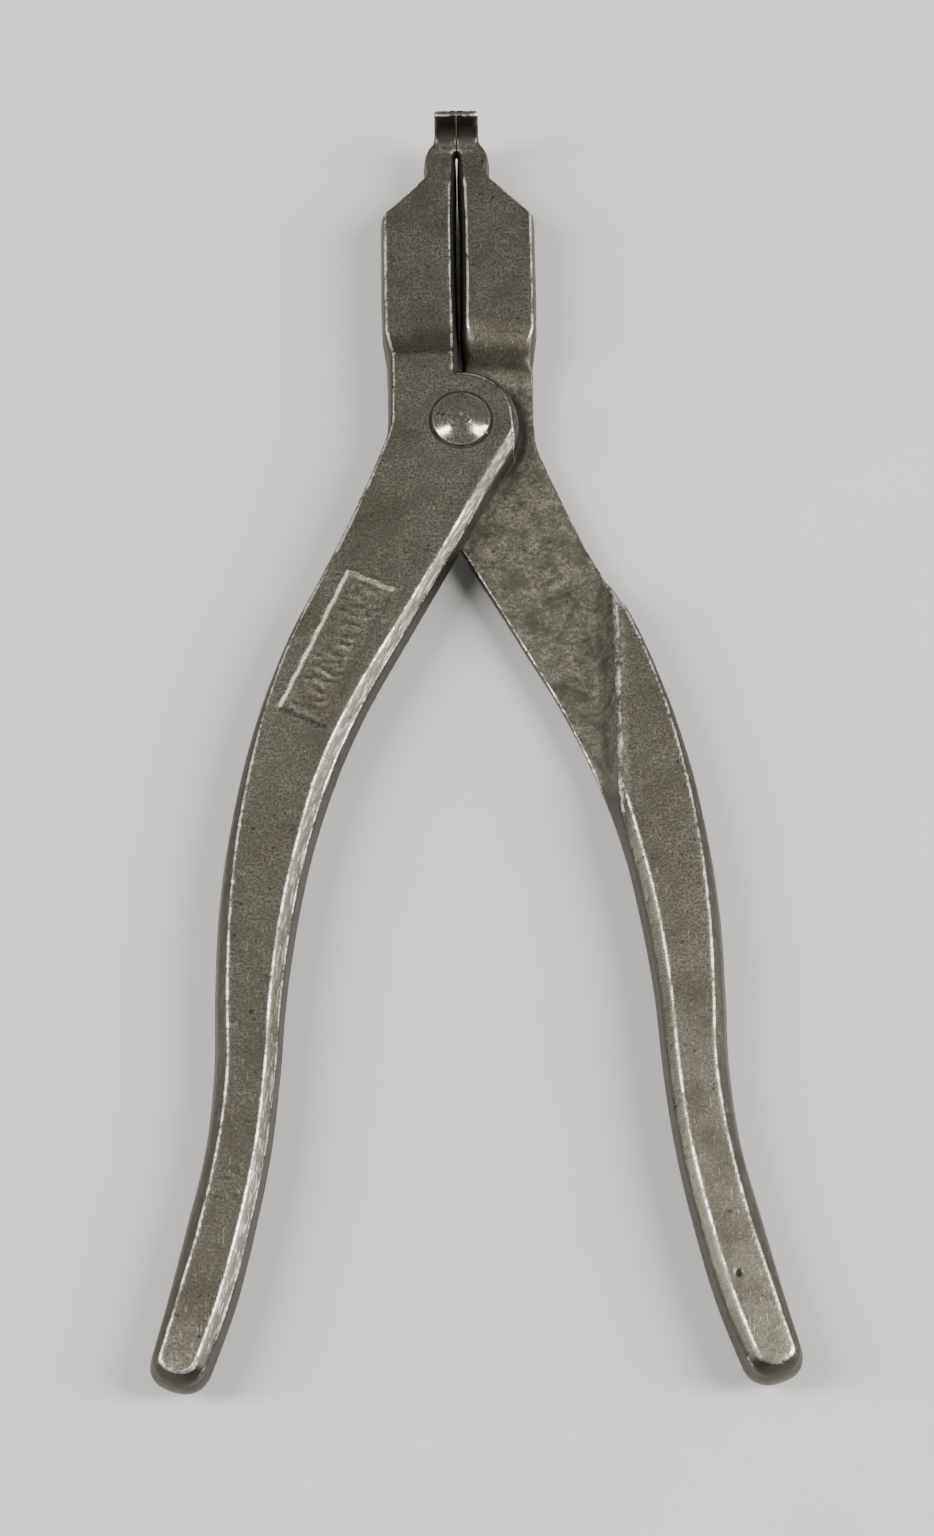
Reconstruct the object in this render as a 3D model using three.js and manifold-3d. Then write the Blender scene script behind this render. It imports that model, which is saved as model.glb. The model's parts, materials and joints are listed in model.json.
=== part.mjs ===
// Lock-ring spreading pliers: two forged levers, lapped and riveted. The levers don't cross at the joint,
// so squeezing the handles spreads the jaws. Millimetres, +Z up. The pliers lie on their back. The origin
// is where the pivot axis meets the flat back, +Y runs to the jaw tips and +X to the rear lever's side.
import * as THREE from "three";
import { mergeVertices } from "three/addons/utils/BufferGeometryUtils.js";
import Module from "manifold-3d";

const wasm = await Module();
wasm.setup();

// Joint
const jointThickness = 9.4; // the two laps together, which is also the handles' thickness
const lapGap = 0.1; // between the faces of the two laps
const bossRadius = 8; // round end of each lap
const jointRim = 2; // from the boss's edge to the joint's outer edge
const bossRelief = 1.1; // free space between a boss and the slope up to the other lever's jaw
const jointBevel = 0.55; // sloped edge round the joint, seen from the front
const jointBevelDepth = 0.77; // how far that slope runs down the side
const padMargin = 1; // from the foot of the lap's slope to the upper edge of the raised joint pad
const padSlopeRun = 4.7; // length of the slopes between the joint and the jaw
const outlineStep = 2; // below the pivot axis, where the joint's outer edge turns in under the handle
const outlinePointAcross = 2.6; // the point under the handle's face that ends the joint's outline
const outlinePointAlong = 18;

// Jaw
const jawThickness = 7.4;
const jawHalfWidth = 10.65; // closing line to the jaw's outer edge
const jawShoulder = 32.6; // pivot axis to where the jaw starts to narrow
const neckFoot = 38.5; // pivot axis to the foot of the neck
const neckTop = 42.4; // pivot axis to the shoulders under the tips
const neckHalfWidth = 4.4;
const shoulderRun = 1.7; // length of the shoulders, along Y
const jawGap = 0.5; // from the closing line to each jaw's inner face
const meetingGap = 0.05; // from the closing line to each tip's inner face
const jawBevel = 0.35; // sloped edge round the jaw

// Tip, a thin blade turned up from the neck
const tipHalfWidth = 3.1;
const tipReach = 45.7; // pivot axis to the blade's far side
const tipHeight = 5.6; // above the jaw's front face
const tipThickness = 1.05;
const tipBendRadius = 1.8; // inside of the bend
const tipLean = 0.35; // how far the blade leans towards the pivot over its height
const tipRoot = 1.7; // thickness of the metal under the blade

// Handle
const handleReach = 130.2; // pivot axis to the handle's end, along Y
const handleSpread = 37; // pivot axis to the handle's end, across
const rootWidth = 15; // next to the joint
const gripWidth = 8.3; // along the grip
const sideDraft = 0.6; // lean of the sides from the parting line to the sloped edges
const innerBevel = 1.4; // sloped edge on the side that faces the other handle, along the grip
const rootInnerBevel = 1.2; // the same edge next to the joint
const outerBevel = 1.2; // sloped edge on the outer side, along the grip
const rootOuterBevel = 0.35; // the same edge next to the joint
const bevelDepth = 1.1; // depth of a sloped edge for each millimetre of its width
const endRun = 2.5; // length of the rounded-off end
const endTrims = [0.33, 1.33]; // taken off each side halfway along the rounded end, and at its very end
const endThins = [1.03, 2.9]; // taken off each face at the same two places
const rampFoot = 17.4; // closing line to the foot of the ramp from the lap to full thickness
const rampTop = 20; // closing line to the ramp's crest

// Sunk panel on the front handle
const panelLength = 21.4;
const panelWidth = 6.6;
const panelDepth = 0.25;
const panelStation = 2; // the handle station that it lies on

// Rivet
const shankRadius = 2.5;
const shankClearance = 0.05;
const headOverhang = 1.55; // head radius beyond the shank's
const headHeight = 1.35;
const headRim = 0.25; // straight rim under the dome
const sinkOverhang = 1.2; // radius of the countersunk tail beyond the shank's
const sinkDepth = 1.5;
const roundSegments = 48;

// What follows from them
const jointHalfWidth = bossRadius + jointRim;
const slopeFoot = bossRadius + bossRelief; // where the slope up from the lap floor starts
const padTop = slopeFoot + padMargin;
const headRadius = shankRadius + headOverhang;
const sinkRadius = shankRadius + sinkOverhang;
const halfJoint = jointThickness / 2;
const halfJaw = jawThickness / 2;
const far = 400; // past every face of a lever, for cutting tools

// A closed geometry as a solid that can be cut and joined.
function solidOf(geometry) {
  const bare = geometry.index ? geometry.toNonIndexed() : geometry.clone();
  bare.deleteAttribute("normal");
  bare.deleteAttribute("uv");
  const merged = mergeVertices(bare, 1e-4);
  return new wasm.Manifold(
    new wasm.Mesh({
      numProp: 3,
      vertProperties: new Float32Array(merged.attributes.position.array),
      triVerts: new Uint32Array(merged.index.array),
    }),
  );
}

function geometryOf(solid) {
  const mesh = solid.getMesh();
  const geometry = new THREE.BufferGeometry();
  geometry.setAttribute("position", new THREE.BufferAttribute(new Float32Array(mesh.vertProperties), 3));
  geometry.setIndex(new THREE.BufferAttribute(new Uint32Array(mesh.triVerts), 1));
  const flat = geometry.toNonIndexed();
  flat.computeVertexNormals();
  return flat;
}

// A plan outline raised from z = low to z = high, with its edges sloped off if bevel is given.
function plate(shape, low, high, bevel) {
  const size = bevel ? bevel.size : 0;
  const depth = bevel ? bevel.depth : 0;
  const geometry = new THREE.ExtrudeGeometry(shape, {
    depth: high - low - 2 * depth,
    bevelEnabled: Boolean(bevel),
    bevelSize: size,
    bevelOffset: -size,
    bevelThickness: depth,
    bevelSegments: 2,
    curveSegments: 24,
  });
  return solidOf(geometry.translate(0, 0, low + depth));
}

// A side profile, drawn as (y, z), carried across from x = left to x = right.
function acrossX(points, left, right) {
  const shape = new THREE.Shape(points.map(([y, z]) => new THREE.Vector2(y, z)));
  const geometry = new THREE.ExtrudeGeometry(shape, { depth: right - left, bevelEnabled: false });
  const turn = new THREE.Matrix4().makeBasis(
    new THREE.Vector3(0, 1, 0),
    new THREE.Vector3(0, 0, 1),
    new THREE.Vector3(1, 0, 0),
  );
  return solidOf(geometry.applyMatrix4(turn).translate(left, 0, 0));
}

// An end profile, drawn as (x, z), carried along from y = near to y = distant.
function alongY(points, near, distant) {
  const shape = new THREE.Shape(points.map(([x, z]) => new THREE.Vector2(x, z)));
  const geometry = new THREE.ExtrudeGeometry(shape, { depth: distant - near, bevelEnabled: false });
  return solidOf(geometry.rotateX(Math.PI / 2).translate(0, distant, 0));
}

// Stations down the handle. across and along are shares of its spread and reach. broad says where its width
// lies between the grip's (0) and the root's (1).
const stations = [
  { across: 0.01, along: 0, broad: 1.22 },
  { across: 0.2345, along: 0.1375, broad: 1 },
  { across: 0.4486, along: 0.2535, broad: 0.84 },
  { across: 0.611, along: 0.37, broad: 0.61 },
  { across: 0.7095, along: 0.484, broad: 0.375 },
  { across: 0.755, along: 0.603, broad: 0.15 },
  { across: 0.7676, along: 0.691, broad: 0.02 },
  { across: 0.802, along: 0.776, broad: 0 },
  { across: 0.867, along: 0.86, broad: 0.03 },
  { across: 0.937, along: 0.937, broad: 0 },
  { across: 1, along: 1, broad: -0.03 },
];
const centreLine = new THREE.CatmullRomCurve3(
  stations.map((s) => new THREE.Vector3(-s.across * handleSpread, -s.along * handleReach, 0)),
  false,
  "centripetal",
);
const broadLine = new THREE.SplineCurve(stations.map((s, i) => new THREE.Vector2(i, s.broad)));
const gripStation = 4; // from here on the sloped edges have their full width

// The section of the handle at a share t of its stations: its corners, all round the metal. trim is taken off
// each side and thin off each face.
function handleSection(t, trim, thin) {
  const centre = centreLine.getPoint(t);
  const along = centreLine.getTangent(t);
  const half = (gripWidth + broadLine.getPoint(t).y * (rootWidth - gripWidth)) / 2 - trim;
  const gripShare = Math.min(1, (t * (stations.length - 1)) / gripStation);
  const inner = rootInnerBevel + (innerBevel - rootInnerBevel) * gripShare;
  const outer = rootOuterBevel + (outerBevel - rootOuterBevel) * gripShare;
  const top = halfJoint - thin;
  const side = (out, bevel) => [
    [out, 0],
    [out - Math.sign(out) * sideDraft, top - Math.min(bevel * bevelDepth, top / 2)],
    [out - Math.sign(out) * (sideDraft + bevel), top],
  ];
  const [inMiddle, inEdge, inTop] = side(half, inner);
  const [outMiddle, outEdge, outTop] = side(-half, outer);
  const below = ([across, up]) => [across, -up];
  const ring = [inMiddle, inEdge, inTop, outTop, outEdge, outMiddle, below(outEdge), below(outTop)];
  ring.push(below(inTop), below(inEdge));
  return ring.map(
    ([across, up]) => new THREE.Vector3(centre.x - along.y * across, centre.y + along.x * across, up),
  );
}

// A closed solid through rings of points that have the same count.
function loft(rings) {
  const count = rings[0].length;
  const positions = rings.flat().flatMap((p) => [p.x, p.y, p.z]);
  const index = [];
  for (let r = 0; r + 1 < rings.length; r++) {
    for (let i = 0; i < count; i++) {
      const a = r * count + i;
      const b = r * count + ((i + 1) % count);
      index.push(a, b, a + count, b, b + count, a + count);
    }
  }
  const last = (rings.length - 1) * count;
  for (let i = 1; i + 1 < count; i++) {
    index.push(0, i + 1, i);
    index.push(last, last + i, last + i + 1);
  }
  const geometry = new THREE.BufferGeometry();
  geometry.setAttribute("position", new THREE.BufferAttribute(new Float32Array(positions), 3));
  geometry.setIndex(index);
  return solidOf(geometry);
}

function handle() {
  const steps = 30;
  const lastFull = 1 - endRun / centreLine.getLength();
  const rings = [];
  for (let i = 0; i <= steps; i++) {
    rings.push(handleSection((i / steps) * lastFull, 0, 0));
  }
  rings.push(handleSection((1 + lastFull) / 2, endTrims[0], endThins[0]));
  rings.push(handleSection(1, endTrims[1], endThins[1]));
  return loft(rings);
}

// The joint's plan: a block to the outer edge, with the round boss past the closing line. It ends in a point
// that runs under the handle's face, so that the boss's edge widens into the handle's.
function jointOutline() {
  const shape = new THREE.Shape();
  const arcEnd = Math.acos((2 * meetingGap) / bossRadius);
  shape.absarc(0, 0, bossRadius, -Math.PI / 6, arcEnd, false);
  shape.lineTo(-2 * meetingGap, bossRadius + bossRelief / 2);
  shape.lineTo(-jawGap, padTop + padSlopeRun);
  shape.lineTo(-jointHalfWidth, padTop + padSlopeRun);
  shape.lineTo(-jointHalfWidth, -outlineStep);
  shape.lineTo(-outlinePointAcross, -outlinePointAlong);
  shape.closePath();
  return shape;
}

function jawOutline() {
  const shape = new THREE.Shape();
  shape.moveTo(-jointHalfWidth, 0);
  shape.lineTo(-jawGap, 0);
  shape.lineTo(-jawGap, neckFoot);
  shape.lineTo(-meetingGap, neckTop);
  shape.lineTo(-meetingGap, neckTop + shoulderRun);
  shape.lineTo(-tipHalfWidth, neckTop + shoulderRun);
  shape.lineTo(-neckHalfWidth, neckTop);
  shape.lineTo(-neckHalfWidth, neckFoot);
  shape.lineTo(-jawHalfWidth, jawShoulder);
  shape.lineTo(-jawHalfWidth, padTop + padSlopeRun);
  shape.lineTo(-jointHalfWidth, padTop);
  shape.closePath();
  return shape;
}

// The tip seen from the side, as (y, z) with z from the forging's middle plane.
function tipProfile() {
  const top = halfJaw + tipHeight;
  const wall = tipReach - tipThickness;
  const points = [
    [neckTop, halfJaw],
    [neckTop, halfJaw - 2 * tipRoot],
    [tipReach - tipRoot / 2, halfJaw - tipRoot],
    [tipReach, halfJaw],
    [tipReach - tipLean, top],
    [wall - tipLean, top],
  ];
  const bendFoot = wall - tipBendRadius;
  const steps = 6;
  for (let i = 0; i <= steps; i++) {
    const angle = (-Math.PI / 2) * (i / steps);
    const along = bendFoot + tipBendRadius * Math.cos(angle);
    points.push([along, halfJaw + tipBendRadius * (1 + Math.sin(angle))]);
  }
  return points;
}

// The metal taken off the back of the neck, so that it thins towards the tip.
function underCutter() {
  const slope = (jawThickness - tipRoot) / (tipReach - jawShoulder);
  return acrossX(
    [
      [jawShoulder, -halfJaw],
      [far, -halfJaw + slope * (far - jawShoulder)],
      [far, -far],
      [jawShoulder, -far],
    ],
    -far,
    far,
  );
}

// What is taken off the forging's back half so that the other lever's lap can lie there and swing.
function lapCutter() {
  const floor = lapGap / 2;
  const slopePerMm = padSlopeRun / halfJaw;
  const belowBack = -halfJoint - 1;
  const towardsJaw = acrossX(
    [
      [-far, floor],
      [-far, belowBack],
      [slopeFoot + slopePerMm * (floor - belowBack), belowBack],
      [slopeFoot, floor],
    ],
    -far,
    far,
  );
  const rampPerMm = (rampTop - rampFoot) / halfJoint;
  const towardsHandle = alongY(
    [
      [-rampFoot - rampPerMm * (floor - belowBack), belowBack],
      [far, belowBack],
      [far, floor],
      [-rampFoot, floor],
    ],
    -far,
    far,
  );
  return towardsJaw.intersect(towardsHandle);
}

// Takes the front of the jaw down from the pad's face along a slope.
function padCutter() {
  return acrossX(
    [
      [padTop, halfJoint],
      [padTop + padSlopeRun, halfJaw],
      [far, halfJaw],
      [far, far],
      [padTop, far],
    ],
    -far,
    far,
  );
}

function pivotHole() {
  const geometry = new THREE.CylinderGeometry(
    shankRadius + shankClearance,
    shankRadius + shankClearance,
    3 * jointThickness,
    roundSegments,
  );
  return solidOf(geometry.rotateX(Math.PI / 2));
}

// One forging with its middle plane at z = 0 and its lap on the front half.
function forging() {
  const joint = plate(jointOutline(), -halfJoint, halfJoint, { size: jointBevel, depth: jointBevelDepth });
  const jaw = plate(jawOutline(), -halfJaw, halfJaw, { size: jawBevel, depth: jawBevel });
  const slopes = padCutter().add(padCutter().mirror([0, 0, 1]));
  return joint.subtract(slopes).add(handle()).add(jaw).subtract(lapCutter());
}

// The forging with its neck thinned and its tip turned up to the front. side is -1 for the front lever and 1
// for the rear one.
function withTip(lever, side) {
  const blade = acrossX(tipProfile(), -tipHalfWidth, -meetingGap);
  return lever.subtract(underCutter()).add(side < 0 ? blade : blade.mirror([1, 0, 0])).subtract(pivotHole());
}

function panel() {
  const t = panelStation / (stations.length - 1);
  const centre = centreLine.getPoint(t);
  const along = centreLine.getTangent(t);
  const box = new THREE.BoxGeometry(panelWidth, panelLength, 2 * panelDepth);
  box.rotateZ(Math.atan2(along.y, along.x) + Math.PI / 2);
  return solidOf(box.translate(centre.x, centre.y, halfJoint));
}

function countersink(radiusAdded) {
  const profile = [
    new THREE.Vector2(0, -1),
    new THREE.Vector2(sinkRadius + radiusAdded, -1),
    new THREE.Vector2(sinkRadius + radiusAdded, 0),
    new THREE.Vector2(shankRadius + radiusAdded, sinkDepth),
    new THREE.Vector2(0, sinkDepth),
  ];
  return solidOf(new THREE.LatheGeometry(profile, roundSegments).rotateX(Math.PI / 2));
}

function frontLever() {
  return withTip(forging(), -1).subtract(panel()).translate([0, 0, halfJoint]);
}

function rearLever() {
  const lever = withTip(forging().rotate([0, 180, 0]), 1).translate([0, 0, halfJoint]);
  return lever.subtract(countersink(shankClearance));
}

function rivet() {
  const seat = jointThickness + shankClearance;
  const profile = [
    new THREE.Vector2(0, 0),
    new THREE.Vector2(sinkRadius, 0),
    new THREE.Vector2(shankRadius, sinkDepth),
    new THREE.Vector2(shankRadius, seat),
    new THREE.Vector2(headRadius, seat),
  ];
  const steps = 7;
  for (let i = 0; i < steps; i++) {
    const angle = (Math.PI / 2) * (i / steps);
    const rise = headRim + (headHeight - headRim) * Math.sin(angle);
    profile.push(new THREE.Vector2(headRadius * Math.cos(angle), seat + rise));
  }
  profile.push(new THREE.Vector2(0, seat + headHeight));
  return solidOf(new THREE.LatheGeometry(profile, roundSegments).rotateX(Math.PI / 2));
}

const steel = { color: 0x5b574e, roughness: 0.5, metalness: 0.9 };
const rivetSteel = { color: 0x7d7a73, roughness: 0.35, metalness: 0.95 };

function named(name, solid, finish) {
  const mesh = new THREE.Mesh(geometryOf(solid), new THREE.MeshStandardMaterial(finish));
  mesh.name = name;
  return mesh;
}

const pliers = new THREE.Group();
pliers.add(named("front_lever", frontLever(), steel));
pliers.add(named("rear_lever", rearLever(), steel));
pliers.add(named("pivot_rivet", rivet(), rivetSteel));

export default pliers;
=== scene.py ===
# %% [markdown]
# # Lock-ring spreading pliers
#
# Two forged levers lie on each other at a riveted joint. They don't cross there, so squeezing the handles opens the
# jaws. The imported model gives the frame: two bodies and one hinge. This notebook gives the looks. Each lever is
# rebuilt as a dense mesh with forged edges, wear and pits, and the rivet as a turned piece.
#
# Lengths inside the shape cells are millimetres and become metres when a mesh is made. The origin is where the pivot
# axis meets the flat back, +Y runs to the jaw tips and +Z to the rivet's domed head.

# %% Setup
import json
import math

import bmesh
import bpy
import numpy as np
from mathutils import Matrix, Vector

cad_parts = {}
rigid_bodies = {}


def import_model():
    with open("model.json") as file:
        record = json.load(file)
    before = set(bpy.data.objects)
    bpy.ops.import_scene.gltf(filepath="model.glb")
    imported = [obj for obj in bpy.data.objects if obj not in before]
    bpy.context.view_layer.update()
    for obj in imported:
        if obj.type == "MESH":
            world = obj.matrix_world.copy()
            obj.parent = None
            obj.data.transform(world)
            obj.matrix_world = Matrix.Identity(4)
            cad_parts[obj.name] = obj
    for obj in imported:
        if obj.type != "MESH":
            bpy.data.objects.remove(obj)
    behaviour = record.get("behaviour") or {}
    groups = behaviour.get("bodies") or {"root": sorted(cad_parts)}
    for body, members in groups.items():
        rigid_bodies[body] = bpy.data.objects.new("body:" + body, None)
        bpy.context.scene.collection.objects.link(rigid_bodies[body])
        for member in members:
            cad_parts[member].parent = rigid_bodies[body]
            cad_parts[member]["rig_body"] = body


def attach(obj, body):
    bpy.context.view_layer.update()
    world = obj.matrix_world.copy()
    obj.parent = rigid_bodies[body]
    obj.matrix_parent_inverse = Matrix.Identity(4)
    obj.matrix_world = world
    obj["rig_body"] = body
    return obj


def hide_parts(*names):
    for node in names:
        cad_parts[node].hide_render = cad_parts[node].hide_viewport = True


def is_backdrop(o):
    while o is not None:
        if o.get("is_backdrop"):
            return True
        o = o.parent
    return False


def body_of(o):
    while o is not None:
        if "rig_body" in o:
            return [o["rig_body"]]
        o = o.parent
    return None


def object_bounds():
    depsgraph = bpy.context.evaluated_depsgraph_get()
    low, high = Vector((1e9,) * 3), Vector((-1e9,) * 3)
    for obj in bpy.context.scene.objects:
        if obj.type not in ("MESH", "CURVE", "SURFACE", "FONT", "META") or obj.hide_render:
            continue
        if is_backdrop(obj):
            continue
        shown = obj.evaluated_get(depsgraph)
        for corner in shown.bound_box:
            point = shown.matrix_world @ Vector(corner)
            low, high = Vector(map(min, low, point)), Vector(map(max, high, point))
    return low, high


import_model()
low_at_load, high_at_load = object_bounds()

MM = 0.001

# %% [markdown]
# ## How a forging gets its shape here
#
# A die forging has no sharp edge anywhere. Faces run into each other through small radii, the sides lean by a few
# degrees so that the piece leaves the die, and grinding afterwards leaves flats that meet the raw surface softly.
# Modelling that with boxes and bevels would take hundreds of hand-set edges.
#
# A signed distance field does it with formulas: a function of a point in space that is negative in the metal and
# positive outside. The larger of two fields is what two shapes share, the smaller is both together, and a soft version
# of either rounds the edge between them by a stated amount.

# %% Soft unions and cuts
def soft_max(a, b, k):
    """The larger of two fields, with the edge between them rounded over about k."""
    h = np.clip(0.5 + 0.5 * (a - b) / k, 0, 1)
    return b + (a - b) * h + k * h * (1 - h)


def soft_min(a, b, k):
    return -soft_max(-a, -b, k)


def fade(value, start, run):
    """Rises from 0 to 1 as value goes from start to start + run."""
    return np.clip((value - start) / run, 0, 1)


def bell(value, width):
    """1 where value is 0, falling off smoothly within about width on both sides."""
    return np.exp(-((value / width) ** 2))


def through(y, ys, values):
    """A smooth curve through stations, as values at y. Past the ends it runs straight on."""
    ys = np.asarray(ys, float)
    values = np.asarray(values, float)
    step = np.diff(ys)
    rise = np.diff(values) / step
    slope = np.empty_like(values)
    slope[1:-1] = (rise[:-1] * step[1:] + rise[1:] * step[:-1]) / (step[1:] + step[:-1])
    slope[0], slope[-1] = rise[0], rise[-1]
    i = np.clip(np.searchsorted(ys, y) - 1, 0, len(ys) - 2)
    t = (y - ys[i]) / step[i]
    inside = np.clip(t, 0, 1)
    t2, t3 = inside**2, inside**3
    curve = (
        values[i] * (2 * t3 - 3 * t2 + 1)
        + values[i + 1] * (3 * t2 - 2 * t3)
        + step[i] * (slope[i] * (t3 - 2 * t2 + inside) + slope[i + 1] * (t3 - t2))
    )
    past = np.where(t > 1, (t - 1) * slope[i + 1], np.where(t < 0, t * slope[i], 0)) * step[i]
    return curve + past


def polygon_field(x, y, corners):
    """Signed distance to a closed outline in the plane."""
    corners = np.asarray(corners, float)
    best = np.full(np.broadcast(x, y).shape, 1e9)
    inside = np.zeros(best.shape, bool)
    for (ax, ay), (bx, by) in zip(corners, np.roll(corners, -1, axis=0)):
        ex, ey = bx - ax, by - ay
        t = np.clip(((x - ax) * ex + (y - ay) * ey) / (ex * ex + ey * ey), 0, 1)
        best = np.minimum(best, (x - ax - t * ex) ** 2 + (y - ay - t * ey) ** 2)
        crosses = (ay > y) != (by > y)
        with np.errstate(divide="ignore", invalid="ignore"):
            at = ax + (y - ay) * ex / (ey if ey else 1e-9)
        inside ^= crosses & (x < at)
    return np.sqrt(best) * np.where(inside, -1, 1)


# %% Seeded noise for forged and worn surfaces
LATTICE_N = 32
LATTICE = np.random.default_rng(11).random((LATTICE_N,) * 3)
LATTICE_OFFSET = 100.37   # keeps the joint's middle off a lattice point


def noise(x, y, z, scale):
    """Smooth noise from 0 to 1 whose features are about scale across."""
    p = np.stack(np.broadcast_arrays(x, y, z)) / scale + LATTICE_OFFSET
    cell = np.floor(p).astype(int)
    t = p - cell
    t = t * t * (3 - 2 * t)
    total = 0
    for corner in np.ndindex(2, 2, 2):
        weight = 1
        for axis in range(3):
            weight = weight * (t[axis] if corner[axis] else 1 - t[axis])
        i, j, k = ((cell[axis] + corner[axis]) % LATTICE_N for axis in range(3))
        total = total + weight * LATTICE[i, j, k]
    return total


# %% [markdown]
# ## The lever forging
#
# Both levers come out of the same dies. One lies face up and the other is turned over, which is why the joint's two
# halves fit. So one field describes the forging, with its middle plane at z = 0, its handle on the -X side and its
# lap in the upper half. Only the tips differ, because both are bent up towards the rivet's head after forging, and the
# rear lever alone has the seat for the rivet's tail and one more scar.

# %% Sizes
JOINT_T = 9.4                # thickness at the joint and down the handles
JAW_T = 7.4                  # thickness of the jaws
JAW_DRAFT = 0.33             # how much closer the jaws' inner faces come towards the back
BOSS_R = 8.0                 # the round end of each lap
LAP_GAP = 0.1                # between the two laps
HOLE_R = 2.55                # for the rivet's shank
SINK_R, SINK_H = 3.75, 1.5   # the seat for the rivet's tail, in the back of the rear lever
PAD_TOP = 10.1               # where the raised joint pad starts to fall away to the jaw

# The cut for the other lever's lap: it climbs out to the handle between two distances from the axis, and to the jaw
# over a run that starts at a foot and lies slightly askew. The two leans turn the height of each climb into a distance
# from it.
RAMP_FOOT, RAMP_TOP, RAMP_LEAN = 17.4, 20.0, 0.87
SLOPE_FOOT, SLOPE_RUN, SLOPE_SLANT, SLOPE_LEAN = 9.2, 4.7, 0.16, 0.62

# Past the jaws' shoulders the side away from the tip comes in by a slope, whose length goes with it.
TAPER_FROM, TAPER_SLOPE, TAPER_LENGTH = 32.6, 0.435, 1.09
TIP_Y, TIP_UP = 45.7, 5.6    # the tip's far face, and its height above the jaw
TIP_T, TIP_W = 1.05, 3.09    # its thickness and width

# The middle of the handle's end, the way out of it, and the way from the handle into the joint.
HANDLE_END = np.array([-37.0, -130.2])
END_WAY = np.array([-0.287, -0.958])
ROOT_WAY = np.array([0.482, 0.876])

# The end's worn slope: how far it drops for each millimetre out, that slope's length, and how deep it cuts.
END_SLOPE, END_LENGTH, END_CUT = 1.9, 2.15, 1.35

# Stations down the handle: y, then how far from the middle line the outer side, the inner side, and the two edges of
# the flat face lie.
STATION_Y = [-135, -130, -120, -110, -100, -90, -80, -70, -60, -50, -40, -30, -20, -10, 0]
OUTER = [42.6, 41.2, 38.5, 36.05, 33.75, 32.7, 32.65, 32.4, 31.4, 29.6, 26.8, 23.0, 18.0, 13.5, 9.5]
INNER = [35.4, 33.4, 29.7, 27.2, 25.3, 24.15, 23.4, 22.0, 20.0, 16.75, 12.4, 7.0, 1.5, -4.0, -9.5]
OUTER_EDGE = [41.0, 39.6, 36.75, 33.95, 31.85, 30.7, 30.8, 30.6, 29.75, 28.1, 25.7, 22.1, 17.2, 12.75, 8.8]
INNER_EDGE = [37.2, 35.3, 31.75, 29.1, 27.1, 26.0, 25.35, 24.1, 22.0, 19.2, 14.75, 9.1, 3.4, -2.1, -7.6]


# %% Handle
def section(out, up, top, total, draft, depth):
    """Section through one side: out is the distance past the side at mid-height. The side leans in by draft, then
    slopes in to total while dropping depth from the face."""
    wall = top - depth
    run = total - draft
    lean = (out * wall + up * draft) / np.hypot(wall, draft)
    slope = ((out + draft) * depth + (up - wall) * run) / np.hypot(depth, run)
    return soft_max(lean, slope, 0.35)


def handle_field(x, y, z):
    """The handle: two leaning sides between the stations' curves, a blunt end, and a root inside the boss."""
    a = -x
    y2 = np.minimum(y, 0.0)
    outer, inner = through(y2, STATION_Y, OUTER), through(y2, STATION_Y, INNER)
    outer_edge, inner_edge = through(y2, STATION_Y, OUTER_EDGE), through(y2, STATION_Y, INNER_EDGE)
    ahead = 0.5
    lean_out = 1 / np.sqrt(1 + ((through(y2 + ahead, STATION_Y, OUTER) - outer) / ahead) ** 2)
    lean_in = 1 / np.sqrt(1 + ((through(y2 + ahead, STATION_Y, INNER) - inner) / ahead) ** 2)
    up = np.abs(z)
    top = JOINT_T / 2
    out_total = np.maximum((outer - outer_edge) * lean_out, 0.6)
    in_total = np.maximum((inner_edge - inner) * lean_in, 0.6)
    side_out = section((a - outer) * lean_out, up, top, out_total, out_total * 0.3, 0.4 + out_total * 0.5)
    side_in = section((inner - a) * lean_in, up, top, in_total, in_total * 0.22, 0.25 + in_total * 0.5)
    past_end = (x - HANDLE_END[0]) * END_WAY[0] + (y - HANDLE_END[1]) * END_WAY[1]
    blunt = (past_end * END_SLOPE + (up - top)) / END_LENGTH + END_CUT
    corner = 1.7 + 1.7 * fade(top - up, 0, 2.5)
    sides = soft_max(soft_max(side_out, side_in, 0.3), soft_max(past_end, blunt, 0.9), corner)
    f = soft_max(sides, up - top, 0.35)
    past_root = x * ROOT_WAY[0] + y * ROOT_WAY[1]
    shrink = 1.4 * fade(past_root, 0, 3.5)
    within_boss = np.where(past_root > 0, np.hypot(x, y) - (BOSS_R - shrink), -9.0)
    return np.maximum(soft_max(f, past_root - 5.0, 0.5), within_boss)


# %% Joint and jaw
JAW_OUTLINE = [
    (-10.3, -3.2), (-9.95, 2), (-10.0, 10), (-10.6, 14.4), (-10.7, 20), (-10.7, 32.4), (-10.3, 33.0), (-4.9, 38.3),
    (-4.5, 39.0), (-4.7, 40.6), (-4.6, 42.0), (-4.2, 42.9), (-3.4, 43.9), (-3.1, 45.2), (-0.05, 45.2), (-0.05, 42.2),
    (-0.18, 40), (-0.42, 36.5), (-0.55, 31), (-0.55, 22), (-0.42, 15), (-0.12, 8.6), (-0.1, 0), (0, -3.2),
]


def front_top(y):
    """Height of the forging's upper face: the raised joint pad, then a hollow slope down to the jaw."""
    t = fade(y, PAD_TOP, SLOPE_RUN)
    return JAW_T / 2 + (JOINT_T - JAW_T) / 2 * (1 - t) ** 2


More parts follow.
